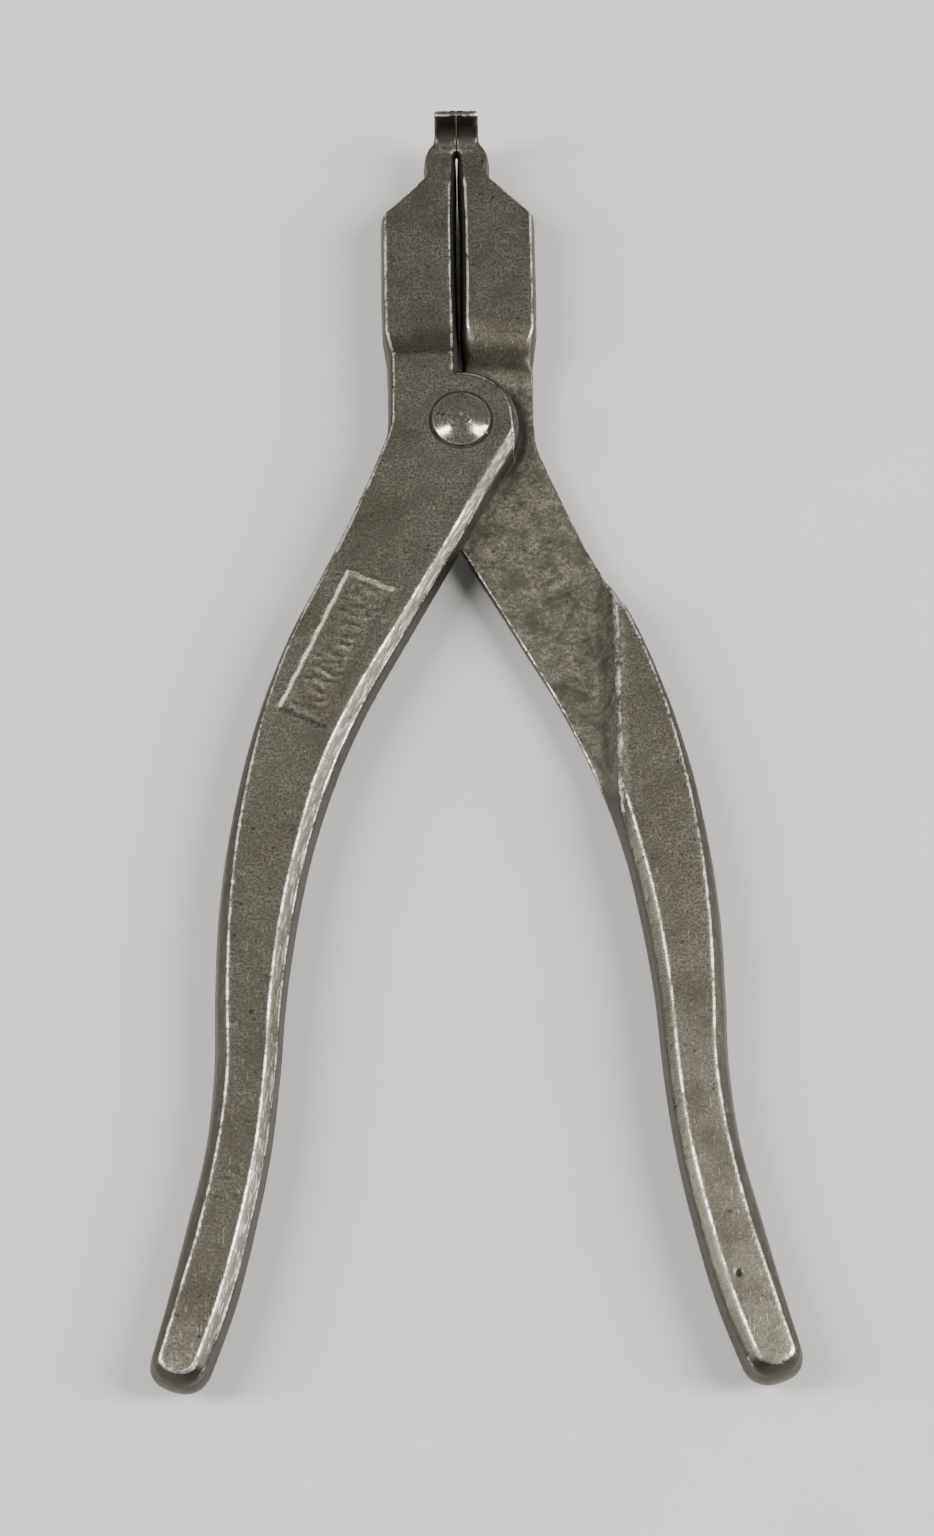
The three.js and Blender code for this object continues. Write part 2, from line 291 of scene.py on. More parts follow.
def joint_field(x, y, z, up):
    """Boss and jaw. The jaws' inner faces lean together towards the back, and stop short of the middle plane."""
    back = JAW_T / 2 - np.clip((y - TAPER_FROM) * TAPER_SLOPE, 0, JAW_T - 1.0)
    below = np.clip((JAW_T / 2 - z * up) / (JAW_T / 2 + back), 0, 1)
    below = below * fade(y, 11.0, 3.0) * fade(-y, -44.0, 3.0)
    closing = 1.8 * JAW_DRAFT * below * fade(x, -3.0, 1.0)
    jaw_plan = polygon_field(x - closing, y, JAW_OUTLINE)
    jaw_plan = np.maximum(jaw_plan, np.where(y > BOSS_R + 0.6, x + 0.02, -9.0))
    plan = soft_min(jaw_plan, np.hypot(x, y) - BOSS_R, 0.5)
    top = front_top(y)
    jaw = fade(y, PAD_TOP, SLOPE_RUN)
    to_handle = np.clip(1 - (x * ROOT_WAY[0] + y * ROOT_WAY[1]) / 6.5, 0, 1) * fade(x, 0, 2.0)
    total = 0.95 * (1 - jaw) + 0.55 * jaw + 0.75 * to_handle
    side = section(plan, np.abs(z), top, total, 0.3, 0.3 + 0.55 * total)
    face = soft_max(z - top, -z - top, 0.1)
    return soft_max(side, face, 0.3)


def lap_cut(x, y, z):
    """Space taken out of the lower half for the other lever's lap, open towards +X and -Y."""
    floor = LAP_GAP / 2
    to_jaw = (y - SLOPE_FOOT - SLOPE_SLANT * np.minimum(x, 0) - (floor - z) * SLOPE_RUN / (JAW_T / 2)) * SLOPE_LEAN
    to_handle = (-x - RAMP_FOOT - (floor - z) * (RAMP_TOP - RAMP_FOOT) / (JOINT_T / 2)) * RAMP_LEAN
    return soft_max(soft_max(z - floor, to_handle, 1.3), to_jaw, 1.1)


# %% Turned-up tip
def tip_field(x, y, z, up):
    """The thin blade at the end of the jaw. up is 1 if it turns to the forging's +Z and -1 if to -Z."""
    a = -x
    rise = z * up - JAW_T / 2
    y2 = y + 0.35 * np.clip(rise, 0, TIP_UP) / TIP_UP
    end = soft_max(rise - TIP_UP, y2 - TIP_Y, 0.3)
    blade = soft_max(np.abs(y2 - (TIP_Y - TIP_T / 2)) - TIP_T / 2, rise - TIP_UP, 0.25)
    blade = np.maximum(blade, -1.7 - rise)
    root = soft_max(np.maximum(rise, -2.0 - rise), np.maximum(y2 - TIP_Y, 42.0 - y), 0.3)
    both = soft_max(soft_min(blade, root, 2.6), end, 0.3)
    wide = soft_max(both, a - TIP_W, 0.5)
    return soft_max(wide, 0.006 - a, 0.06)


def under_taper(y, z, up):
    """Metal taken off the side away from the tip, so that the neck thins."""
    return (-z * up - JAW_T / 2 + (y - TAPER_FROM) * TAPER_SLOPE) / TAPER_LENGTH


# %% Stamped panel and small scars
PANEL_AT, PANEL_TURN = np.array([-16.85, -33.1]), math.radians(25)
PANEL_HALF_W, PANEL_HALF_L = 3.3, 10.7
SUNK, RIM, STROKE = 0.24, 0.14, 0.15   # depth of the panel, and how far its rim and strokes rise out of it
RIM_W, STROKE_W = 0.18, 0.21

# Small scars, each taken out by a ball: its place and its radius.
NICKS = [(-0.9, -18.3, 4.6, 0.55), (-4.7, 41.3, 2.2, 0.45)]
REAR_PIT = (-32.4, -117.4, -4.8, 0.45)
PIT_CLEAR_R = 1.483          # how far round the pit no edge is worn


def random_strokes():
    """Short strokes in a row along the panel, crossing at random angles and places, that spell nothing."""
    dice = np.random.default_rng(5)
    strokes = []
    for middle in np.arange(-9.4, 9.5, 1.45):
        for _ in range(4):
            ax, bx = dice.uniform(-2.1, 2.1, 2)
            ay, by = middle + dice.uniform(-0.6, 0.6, 2)
            strokes.append((ax, ay, bx, by))
    return strokes


STROKES = random_strokes()
print("panel:", len(STROKES), "strokes")


def panel_place(x, y):
    """Places across and along the panel, from its middle."""
    c, s = math.cos(PANEL_TURN), math.sin(PANEL_TURN)
    dx, dy = x - PANEL_AT[0], y - PANEL_AT[1]
    return dx * c - dy * s, dx * s + dy * c


def stamp_depth(x, y):
    """How far the stamped panel lies below the face: a sunk field, a raised rim on two sides, and a row of strokes
    worn past reading. With it go two masks: what stands proud there, and what lies low."""
    u, v = panel_place(x, y)
    edge = np.maximum(np.abs(u) - PANEL_HALF_W, np.abs(v) - PANEL_HALF_L)
    sunk = SUNK * np.clip(0.5 - edge / 0.35, 0, 1)
    wobble = 0.12 * np.sin(v * 1.7) + 0.1 * np.sin(u * 2.3)
    rim = bell(u + PANEL_HALF_W + 0.25 + wobble, RIM_W) * (np.abs(v) < PANEL_HALF_L + 0.3)
    rim = rim + bell(v - PANEL_HALF_L - 0.15 - wobble, RIM_W) * (np.abs(u) < PANEL_HALF_W + 0.3)
    rim = np.clip(rim, 0, 1)
    strokes = 0 * u
    for ax, ay, bx, by in STROKES:
        ex, ey = bx - ax, by - ay
        t = np.clip(((u - ax) * ex + (v - ay) * ey) / (ex * ex + ey * ey), 0, 1)
        off = np.hypot(u - ax - t * ex, v - ay - t * ey)
        strokes = np.maximum(strokes, np.clip(1.3 - off / STROKE_W, 0, 1))
    strokes = strokes * np.clip(noise(u, v, 0 * u, 1.1) * 2.4 - 0.35, 0, 1)
    return sunk - RIM * rim - STROKE * strokes, np.maximum(rim, 0.4 * strokes), sunk * (1 - strokes)


# %% Whole forging
def lever_field(x, y, z, up):
    """The forging, with its tip turned to +Z if up is 1 and to -Z, and a seat for the rivet's tail, if up is -1."""
    f = soft_min(joint_field(x, y, z, up), handle_field(x, y, z), 0.5)
    f = np.maximum(f, np.abs(z) - JOINT_T / 2 + 0.04)
    f = soft_max(f, under_taper(y, z, up), 0.5)
    f = soft_min(f, tip_field(x, y, z, up), 0.4)
    lap_edge = 0.4 + 1.3 * fade(y, 8.5, 2.0) + 1.0 * fade(-x, 17.0, 2.0)
    f = soft_max(f, -lap_cut(x, y, z), lap_edge)
    seat = np.maximum(z - (JOINT_T / 2 - SINK_H), 0) * (SINK_R - HOLE_R) / SINK_H if up < 0 else 0
    f = soft_max(f, HOLE_R + seat - np.hypot(x, y), 0.1)
    for sx, sy, sz, r in NICKS + ([REAR_PIT] if up < 0 else []):
        near = np.sqrt((x - sx) ** 2 + (y - sy) ** 2 + (z - sz) ** 2)
        f = soft_max(f, r - near, 0.25)
    return f


# %% [markdown]
# ## From field to mesh
#
# The field is sampled on a lattice. Every lattice cell that the surface passes through gets one vertex, and every
# lattice edge that it crosses gets one quad between the four cells around it. Then each vertex is moved along the
# field's gradient until it lies exactly on the surface, so edges are as crisp as the formulas say.

# %% Surface of a field
def surface(field, low, high, step):
    """Vertices and outward quads of the surface where field is 0, in the box from low to high."""
    axes = [np.arange(a, b + step, step, dtype=np.float32) for a, b in zip(low, high)]
    x, y, z = axes[0][:, None, None], axes[1][None, :, None], axes[2][None, None, :]
    values = field(x, y, z).astype(np.float32)
    inside = values < 0
    shape = tuple(n - 1 for n in values.shape)
    total = np.zeros(shape + (3,), np.float32)
    count = np.zeros(shape, np.float32)
    quads = []
    for axis in range(3):
        lo = [slice(None)] * 3
        hi = [slice(None)] * 3
        lo[axis], hi[axis] = slice(0, -1), slice(1, None)
        crossing = inside[tuple(lo)] != inside[tuple(hi)]
        i, j, k = np.nonzero(crossing)
        a = values[tuple(lo)][i, j, k]
        b = values[tuple(hi)][i, j, k]
        t = a / (a - b)
        at = np.stack([i, j, k], 1).astype(np.float32)
        at[:, axis] += t
        p, q = [n for n in range(3) if n != axis]
        cells = []
        for dp, dq in ((-1, -1), (0, -1), (0, 0), (-1, 0)):
            cell = np.stack([i, j, k], 1)
            cell[:, p] += dp
            cell[:, q] += dq
            cells.append(cell)
            np.add.at(total, tuple(cell.T), at)
            np.add.at(count, tuple(cell.T), 1)
        ring = np.stack([np.ravel_multi_index(tuple(c.T), shape) for c in cells], 1)
        outward = inside[tuple(lo)][i, j, k] ^ (axis == 1)
        ring[~outward] = ring[~outward][:, ::-1]
        quads.append(ring)
    used = np.flatnonzero(count.ravel())
    points = total.reshape(-1, 3)[used] / count.ravel()[used, None] * step + np.array(low, np.float32)
    renumber = np.zeros(count.size, np.int64)
    renumber[used] = np.arange(len(used))
    return points.astype(float), renumber[np.concatenate(quads)]


def gradient(field, p, h):
    """The field, its unit gradient and how sharply the surface bends, at points p."""
    x, y, z = p.T
    here = field(x, y, z)
    ahead = [field(*(p + h * np.eye(3)[i]).T) for i in range(3)]
    behind = [field(*(p - h * np.eye(3)[i]).T) for i in range(3)]
    g = np.stack([(a - b) / (2 * h) for a, b in zip(ahead, behind)], 1)
    length = np.linalg.norm(g, axis=1, keepdims=True)
    bend = (sum(ahead) + sum(behind) - 6 * here) / (h * h) / np.maximum(length[:, 0], 0.2)
    return here, g / np.maximum(length, 1e-6), bend, length[:, 0]


def settle(field, p, rounds=3):
    """Moves points onto the surface in small steps."""
    for _ in range(rounds):
        here, n, _, length = gradient(field, p, 0.04)
        move = here / np.maximum(length, 0.35)
        p = p - n * np.clip(move, -0.12, 0.12)[:, None]
    return p


# %% [markdown]
# ## Wear and forging marks
#
# The noise that marks a surface is pressed into it, never added, so the levers still clear each other at the joint.
# Three kinds are used: the slow waviness of a hammered and ground face, pits where scale came off, and a coarse rough
# skin on the lap floor, which is as the die left it.
#
# Seven values go with every vertex for the material to read:
#
# - `edge`: how proud an edge stands, so how bright it has worn
# - `hollow`: where oil and dirt have set, and where shade is painted: in concave creases, round the rivet's foot
#   and the other lever's boss, and in the gap between the jaws
# - `raw`: the die skin on the lap floor
# - `painted_shade`: painted shade on sloping sides and the tip's walls, and a plain darkening down the front handle
# - `held`: how much the hand has rubbed the lower handle
# - `streaked`: bevels with fine streaks along the handle
# - `across`: the distance from the handle's inner side in metres, which the streaks follow

# %% Marks pressed into the surface
def die_skin(x, y, z, normal):
    """The lap floor in three shares: its slope up to the jaw, all the rest, and the rest outside the other boss."""
    floor = np.clip(1 - lap_cut(x, y, z) / 0.25, 0, 1) * (z < 0.9) * (normal[:, 2] < -0.3)
    jaw_slope = floor * fade(y, SLOPE_FOOT, 1.0)
    raw = floor * fade(-y, -SLOPE_FOOT - 1.0, 1.0)
    return jaw_slope, raw, raw * fade(np.hypot(x, y), BOSS_R + 0.4, 0.8)


def jaw_inside(x, y):
    """True on the face that meets the other jaw."""
    return (np.abs(x) < 0.9) & (y > BOSS_R)


def pressed_in(x, y, z, normal, bend, open_skin, rear):
    """Depth of all marks, and the stamped panel's two masks: what stands proud and what lies low."""
    seed = 40.0 if rear else 0.0
    wavy = noise(x + seed, y, z, 6.0) * 0.055 + noise(x, y + seed, z, 2.1) * 0.025
    pits = np.clip(noise(x + seed, y, z, 0.6) - 0.8, 0, 1) * 0.45
    rough = open_skin * (noise(x, y, z + seed, 1.5) * 0.13 + noise(x + seed, y, z, 0.6) * 0.09)
    chipped = np.clip(bend, 0, 3) * np.clip(noise(x, y, z + seed, 0.55) - 0.35, 0, 1) * 0.05
    near_joint = np.hypot(x, y) < BOSS_R + 1.2
    lapped = near_joint & (np.abs(z) < 0.6)
    depth = wavy * (1 - 0.5 * near_joint) + pits + rough + chipped
    depth = depth * ~lapped * (1 - 0.9 * jaw_inside(x, y))
    if rear:
        return depth, 0 * x, 0 * x
    face = (z > JOINT_T / 2 - 0.7) & (normal[:, 2] > 0.6)
    pressed, proud, low = (part * face for part in stamp_depth(x, y))
    return depth + pressed, proud, low


# %% Wear masks
FACE_BAND = 0.45   # how far below the flat faces an edge still belongs to them


def handle_lines(x, y, z, tilt, open_skin, rear):
    """What runs along a handle: the distance from its inner side, the streaked bevels and the bright creases."""
    y_handle = np.minimum(y, 0)
    on_boss = x * ROOT_WAY[0] + y * ROOT_WAY[1] > 0
    from_inner = -x - through(y_handle, STATION_Y, INNER)
    across = np.where(on_boss, BOSS_R - np.hypot(x, y), from_inner)
    by_inner = fade(-y, -4.0, 6.0) * np.clip(2.6 - across, 0, 1) * (y > HANDLE_END[1] + 4.0)
    by_outer = (through(y_handle, STATION_Y, OUTER) + x < 1.8) * fade(-y, 20.0, 30.0)
    bevel = np.clip(tilt * 5.0, 0, 1) * fade(-tilt, -0.72, 0.2)
    streaked = bevel * np.maximum(by_inner * (0.15 if rear else 0.9), by_outer * 0.15)
    below_joint = fade(-y, 8.0, 6.0)
    creases = 0
    for stations, strength in ((INNER_EDGE, 1.0), (OUTER_EDGE, 0.95)):
        off = -x - through(y_handle, STATION_Y, stations)
        creases = np.maximum(creases, strength * bell(off, 0.3))
    on_face = np.abs(z) > JOINT_T / 2 - FACE_BAND
    creases = creases * on_face * below_joint * (y > HANDLE_END[1] + 3.5) * (1 - open_skin)
    if not rear:
        foot = bell(np.abs(z) - JOINT_T / 2 + 1.15, 0.25) * (from_inner < 1.0)
        creases = np.maximum(creases, 0.9 * foot * below_joint * (y > HANDLE_END[1] + 5.0))
    return across, streaked, creases


def lever_masks(x, y, z, normal, bend, skin, stamp, rear):
    """The seven values at every vertex of a lever."""
    up = -1.0 if rear else 1.0
    jaw_slope, raw, open_skin = skin
    proud, low = stamp
    tilt = 1 - np.abs(normal[:, 2])
    facing = jaw_inside(x, y)
    below_face = front_top(y) - np.abs(z)
    at_tip = fade(y, 42.6, 1.4) * (np.abs(z) > JAW_T / 2 - 0.3)
    tip_top = fade(z * up, JAW_T / 2 + TIP_UP - 0.7, 0.4)
    across, streaked, creases = handle_lines(x, y, z, tilt, open_skin, rear)

    # Painted shade: the more a face tilts away from flat, the darker its colour, less so on the lap floor and its
    # slope.
    painted_shade = np.clip(tilt * 4.2, 0, 0.92) * (1 - 0.6 * open_skin) * (1 - 0.65 * jaw_slope)
    if not rear:
        # A plain darkening of the front handle from 45 mm below the pivot towards its end.
        painted_shade = np.maximum(painted_shade, 0.32 * fade(-y, 45.0, 40.0) * fade(y, -127.0, 8.0))
    # Painted shade on the turned-up tip's walls, all but its top.
    painted_shade = np.maximum(painted_shade, at_tip * (1 - tip_top))

    jaw_end = fade(y, 37.0, 3.0)
    edge = fade(bend, 0.35, 1.4) * (1 - jaw_end * (0.8 - 0.75 * tip_top))
    edge = edge * np.where(y > 0, np.clip(1.5 - below_face / 0.6, 0.3, 1), 1) * (1 - 0.9 * facing * jaw_end)
    ridge = bell(x + RAMP_TOP - 0.3, 1.0) * (z < -JOINT_T / 2 + 1.2) * (y < -10.0)
    end_rim = fade(-y, -HANDLE_END[1] - 5.5, 2.0) * (np.abs(z) > JOINT_T / 2 - FACE_BAND) * fade(bend, 0.2, 0.7)
    edge = np.maximum.reduce([edge, proud**1.5 * 0.8, ridge * 0.95, creases, end_rim * 0.75])
    if rear:
        edge = edge * (1 - bell(np.hypot(x - REAR_PIT[0], y - REAR_PIT[1]), PIT_CLEAR_R))
    # The jaws' inner faces deep in the gap: no worn edge there, and their colour is painted as shade below.
    deep = facing & (below_face > 0.4) & (y < 43.5)
    edge = edge * ~deep * (1 - 0.35 * open_skin)

    from_axis = np.hypot(x, y)
    if rear:
        # Painted shade and dirt in a band on the lap floor along the foot of the other lever's boss.
        shade_and_grime_ring = bell(from_axis - 8.6, 1.5) * raw * 0.8
    else:
        # Painted shade and dirt in a ring round the foot of the rivet's head.
        shade_and_grime_ring = bell(from_axis - 4.2, 0.3) * (normal[:, 2] > 0.5) * (z > 0)
    # Painted shade in the gap between the jaws and on the tips' inner sides below their tops.
    gap_shade = deep | (facing & (np.abs(normal[:, 0]) > 0.5) & (at_tip > 0) & (tip_top < 0.5))
    # Painted shade and dirt: concave creases and the rings get both, the stamped panel's low field dirt, the gap
    # shade.
    hollow = np.maximum.reduce([np.clip(-bend / 1.1, 0, 1), shade_and_grime_ring, low * 0.9, gap_shade * 1.0])
    return {
        "edge": edge,
        "hollow": hollow,
        "raw": open_skin,
        "painted_shade": painted_shade,
        "held": fade(-y, 65.0, 75.0) * (0.9 if rear else 0.1),
        "streaked": streaked,
        "across": across * MM,
    }


def put_masks(mesh, masks):
    for label, value in masks.items():
        layer = mesh.attributes.new(label, "FLOAT", "POINT")
        layer.data.foreach_set("value", value.astype(np.float32))


# %% Lever meshes
GRID = 0.27                                            # size of a lattice cell
REACH_LOW, REACH_HIGH = (-42.4, -133.0), (8.9, 46.6)   # the lattice's corners in the plane
BODY_Z, TIP_Z = 5.4, 9.9                               # its height on the plain side and on the tip's


def build_lever(name, rear):
    """One lever's mesh in the shared frame. The rear one is the forging turned over about its long axis."""
    up = -1.0 if rear else 1.0

    def field(x, y, z):
        return lever_field(x, y, z, up)

    bottom, top = (-TIP_Z, BODY_Z) if rear else (-BODY_Z, TIP_Z)
    points, quads = surface(field, (*REACH_LOW, bottom), (*REACH_HIGH, top), GRID)
    points = settle(field, points)
    _, normal, bend, _ = gradient(field, points, 0.3)
    x, y, z = points.T
    skin = die_skin(x, y, z, normal)
    depth, *stamp = pressed_in(x, y, z, normal, bend, skin[-1], rear)
    points = points - normal * depth[:, None]

    place = points.copy()
    if rear:
        place[:, 0] *= -1
        place[:, 2] *= -1
    place[:, 2] += JOINT_T / 2
    mesh = bpy.data.meshes.new(name)
    mesh.from_pydata((place * MM).tolist(), [], quads.tolist())
    mesh.validate()
    mesh.update()
    mesh.shade_smooth()
    put_masks(mesh, lever_masks(x, y, z, normal, bend, skin, stamp, rear))
    obj = bpy.data.objects.new(name, mesh)
    bpy.context.scene.collection.objects.link(obj)
    lo, hi = place.min(0), place.max(0)
    print(name, len(points), "vertices, from", np.round(lo, 1), "to", np.round(hi, 1), "mm")
    return obj


front_lever = build_lever("FrontLeverForged", rear=False)
rear_lever = build_lever("RearLeverForged", rear=True)

# %% [markdown]
# ## The rivet
#
# The rivet is a soft steel pin whose head was formed with a hollow punch. The punch left a low dome, a small dimple at
# the centre and faint rings, and a fine gap stays round its foot where oil and dirt sit; that ring is painted nearly
# black for the dirt and for shade. A turned piece is a profile swept round its axis, so it is made as rings of
# vertices, with a few light hammer flats pressed into the dome.

# %% Rivet
HEAD_R, SHANK_R = 4.0, 2.5
SEAT = JOINT_T + 0.05        # the head's underside
DOME_R, RIM_H = 6.7, 0.2     # ball that the dome is a cap of, and the height of the head's rim
DIMPLE, DIMPLE_R = 0.16, 0.38
PUNCH_RINGS = [(0.85, 0.03, 0.14), (1.4, 0.018, 0.12)]   # radius, height and width
AROUND, DOME_RINGS = 160, 46
MIDDLE_R = 0.02              # the last ring before a flat closes it
CHIP_AT, CHIP, CHIP_W = (3.55, -2.05), 0.35, 0.5


def dome(r):
    """Height of the head above its seat at radius r: a cap of a ball, with the punch's dimple and faint rings."""
    cap = np.sqrt(DOME_R**2 - np.minimum(r, HEAD_R) ** 2) - math.sqrt(DOME_R**2 - HEAD_R**2)
    rings = sum(height * bell(r - radius, width) for radius, height, width in PUNCH_RINGS)
    return RIM_H + cap - DIMPLE * bell(r, DIMPLE_R) + rings


def rivet_profile():
    """Radius and height from the tail's middle round to the head's."""
    tail_r = SINK_R - 0.07
    profile = [(MIDDLE_R, 0.0), (tail_r - 0.1, 0.0), (tail_r, 0.06), (SHANK_R, SINK_H), (SHANK_R, SEAT)]
    profile += [(HEAD_R - 0.35, SEAT), (HEAD_R - 0.1, SEAT + 0.04), (HEAD_R, SEAT + 0.14)]
    for t in np.linspace(0.004, 1, DOME_RINGS):
        r = HEAD_R * math.cos(t * math.pi / 2)
        profile.append((max(r, MIDDLE_R), SEAT + float(dome(r))))
    return profile


def dent_depth(x, y, z):
    """Light hammer flats all over the dome, and one chip in its rim."""
    dent = float(noise(x, y, z, 1.3)) * 0.08 if z > SEAT + 0.2 else 0
    if z > SEAT + 0.1:
        dent += CHIP * float(bell(math.hypot(x - CHIP_AT[0], y - CHIP_AT[1]), CHIP_W))
    return dent


def build_rivet():
    bm = bmesh.new()
    rings = []
    for r, z in rivet_profile():
        ring = []
        for i in range(AROUND):
            angle = 2 * math.pi * i / AROUND
            x, y = r * math.cos(angle), r * math.sin(angle)
            ring.append(bm.verts.new((x * MM, y * MM, (z - dent_depth(x, y, z)) * MM)))
        rings.append(ring)
    for low, high in zip(rings, rings[1:]):
        for i in range(AROUND):
            j = (i + 1) % AROUND
            bm.faces.new((low[i], low[j], high[j], high[i]))
    bm.faces.new(rings[0][::-1])
    bm.faces.new(rings[-1])
    mesh = bpy.data.meshes.new("RivetTurned")
    bm.to_mesh(mesh)
    bm.free()
    mesh.shade_smooth()
    co = np.empty(len(mesh.vertices) * 3, np.float32)
    mesh.vertices.foreach_get("co", co)
    x, y, z = (co.reshape(-1, 3) / MM).T
    r = np.hypot(x, y)
    # Painted shade and dirt in the fine gap round the head's foot, and a darker middle to the dimple.
    foot = fade(r, HEAD_R - 0.35, 0.3) * (z > SEAT - 0.1)
    masks = {label: 0 * r for label in ("raw", "painted_shade", "held", "streaked", "across")}
    masks["edge"] = np.clip(1 - np.abs(r - 0.75) / 0.3, 0, 1) * 0.4
    masks["hollow"] = np.maximum(foot, bell(r, 0.3) * 0.6)
    put_masks(mesh, masks)
    obj = bpy.data.objects.new("RivetTurned", mesh)
    bpy.context.scene.collection.objects.link(obj)
    print("rivet", len(mesh.vertices), "vertices")
    return obj


rivet = build_rivet()

# %% [markdown]
# ## Materials
#
# Bare forged steel that has been carried and oiled for years is grey-brown, not silver. Its flats have a fine matt
# grain with soft, darker and browner stains. Where hands and other tools rub, on every proud edge, the brown is gone
# and the steel shines. In hollows the oil has set with dirt and is nearly black, and the same colour paints the shade
# in those hollows and in the gap between the jaws; sloping sides are painted with shade as well. The die skin on the
# lap floor is duller and more blotched than the ground faces.
#
# Three node groups hold the effects that every steel here shares: masks, streaks and relief. Each material keeps its
# own shader.

# %% Node helpers
def new_group(name, inputs, outputs):
    tree = bpy.data.node_groups.new(name, "ShaderNodeTree")
    for label, kind, value in inputs:
        socket = tree.interface.new_socket(label, in_out="INPUT", socket_type=kind)
        if value is not None:
            socket.default_value = value
    for label, kind in outputs:
        tree.interface.new_socket(label, in_out="OUTPUT", socket_type=kind)
    return tree, tree.nodes.new("NodeGroupInput"), tree.nodes.new("NodeGroupOutput")


def wire(tree, source, target):
    tree.links.new(source, target)


def feed(tree, value, socket):
    """Sets a socket to a number or colour, or links another node's output to it."""
    if isinstance(value, (int, float, tuple)):
        socket.default_value = value
    else:
        wire(tree, value, socket)


def use_group(tree, group, inputs):
    node = tree.nodes.new("ShaderNodeGroup")
    node.node_tree = group
    for label, value in inputs.items():
        feed(tree, value, node.inputs[label])
    return node.outputs


def math_node(tree, operation, a, b):
    node = tree.nodes.new("ShaderNodeMath")
    node.operation = operation
    feed(tree, a, node.inputs[0])
    feed(tree, b, node.inputs[1])
    return node.outputs[0]


def times(tree, a, b):
    return math_node(tree, "MULTIPLY", a, b)


def noise_node(tree, vector, scale, detail=3.0, rough=0.6):
    node = tree.nodes.new("ShaderNodeTexNoise")
    node.inputs["Scale"].default_value = scale
    node.inputs["Detail"].default_value = detail
    node.inputs["Roughness"].default_value = rough
    wire(tree, vector, node.inputs["Vector"])
    return node.outputs["Fac"]


def ramp(tree, value, low, high):
    node = tree.nodes.new("ShaderNodeMapRange")
    node.interpolation_type = "SMOOTHSTEP"
    node.inputs["From Min"].default_value = low
    node.inputs["From Max"].default_value = high
    wire(tree, value, node.inputs["Value"])
    return node.outputs["Result"]


def mix_color(tree, factor, a, b):
    node = tree.nodes.new("ShaderNodeMix")
    node.data_type = "RGBA"
    wire(tree, factor, node.inputs["Factor"])
    feed(tree, a, node.inputs[6])
    feed(tree, b, node.inputs[7])
    return node.outputs[2]


def mix_value(tree, factor, a, b):
    node = tree.nodes.new("ShaderNodeMix")
    wire(tree, factor, node.inputs["Factor"])
    feed(tree, a, node.inputs[2])
    feed(tree, b, node.inputs[3])
    return node.outputs[0]


def attribute(tree, name):
    node = tree.nodes.new("ShaderNodeAttribute")
    node.attribute_name = name
    return node.outputs["Fac"]


# %% Shared node groups
# Noise scales, in features per metre: 1000 gives features about a millimetre across.
SCALE = {
    "broken edge": 1900.0,
    "patch": 260.0,
    "smear": 420.0,
    "stain": 120.0,
    "speck": 900.0,
    "grain": 3000.0,
    "mottle": 520.0,
    "fleck": 1000.0,
    "blotch": 260.0,
    "fine relief": 3600.0,
    "coarse relief": 1300.0,
    "floor": 60.0,
}
STREAK_SCALES = {"Across": 3600.0, "Y": 420.0, "Z": 900.0}
SCRATCH_SCALES, SCRATCH_TURN = (5200.0, 420.0, 900.0), math.radians(18)


def steel_masks_group():
    """Where the steel is worn bright, dirty and painted with shade, stained and specked, and its fine grain."""
    tree, given, made = new_group(
        "SteelMasks",
        [
            ("Position", "NodeSocketVector", None),
            ("Edge", "NodeSocketFloat", 0.0),
            ("Hollow", "NodeSocketFloat", 0.0),
            ("Wear", "NodeSocketFloat", 0.5),
        ],
        [
            ("Worn", "NodeSocketFloat"),
            ("DirtAndShade", "NodeSocketFloat"),
            ("Stain", "NodeSocketFloat"),
            ("Speck", "NodeSocketFloat"),
            ("Grain", "NodeSocketFloat"),
        ],
    )
    place, edge, hollow, wear = (given.outputs[label] for label in ("Position", "Edge", "Hollow", "Wear"))
    broken = noise_node(tree, place, SCALE["broken edge"], 4.0, 0.75)
    patchy = ramp(tree, noise_node(tree, place, SCALE["patch"], 2.0), 0.36, 0.60)
    rubbed = math_node(tree, "ADD", math_node(tree, "ADD", broken, wear), times(tree, patchy, 0.22))
    wire(tree, ramp(tree, times(tree, edge, rubbed), 0.44, 0.80), made.inputs["Worn"])
    # Painted shade and dirt, from the hollow mask broken up by a smear.
    smear = noise_node(tree, place, SCALE["smear"])
    dirt_and_shade_amount = times(tree, hollow, math_node(tree, "ADD", smear, 0.5))
    wire(tree, ramp(tree, dirt_and_shade_amount, 0.12, 0.9), made.inputs["DirtAndShade"])
    stain = noise_node(tree, place, SCALE["stain"], 5.0, 0.62)
    wire(tree, ramp(tree, stain, 0.42, 0.68), made.inputs["Stain"])
    speck = noise_node(tree, place, SCALE["speck"], 2.0, 0.5)
    wire(tree, ramp(tree, speck, 0.66, 0.76), made.inputs["Speck"])
    wire(tree, noise_node(tree, place, SCALE["grain"], 3.0, 0.75), made.inputs["Grain"])
    return tree


def streaks_group():
    """Fine bright streaks that run along a handle. Across is the distance from the handle's side, in metres."""
    tree, given, made = new_group(
        "HandleStreaks",
        [("Position", "NodeSocketVector", None), ("Across", "NodeSocketFloat", 0.0)],
        [("Streak", "NodeSocketFloat")],
    )
    parts = tree.nodes.new("ShaderNodeSeparateXYZ")
    wire(tree, given.outputs["Position"], parts.inputs[0])
    joined = tree.nodes.new("ShaderNodeCombineXYZ")
    wire(tree, times(tree, given.outputs["Across"], STREAK_SCALES["Across"]), joined.inputs["X"])
    for axis in "YZ":
        wire(tree, times(tree, parts.outputs[axis], STREAK_SCALES[axis]), joined.inputs[axis])
    lines = noise_node(tree, joined.outputs[0], 1.0, 4.0, 0.7)
    wire(tree, ramp(tree, lines, 0.49, 0.64), made.inputs["Streak"])
    return tree


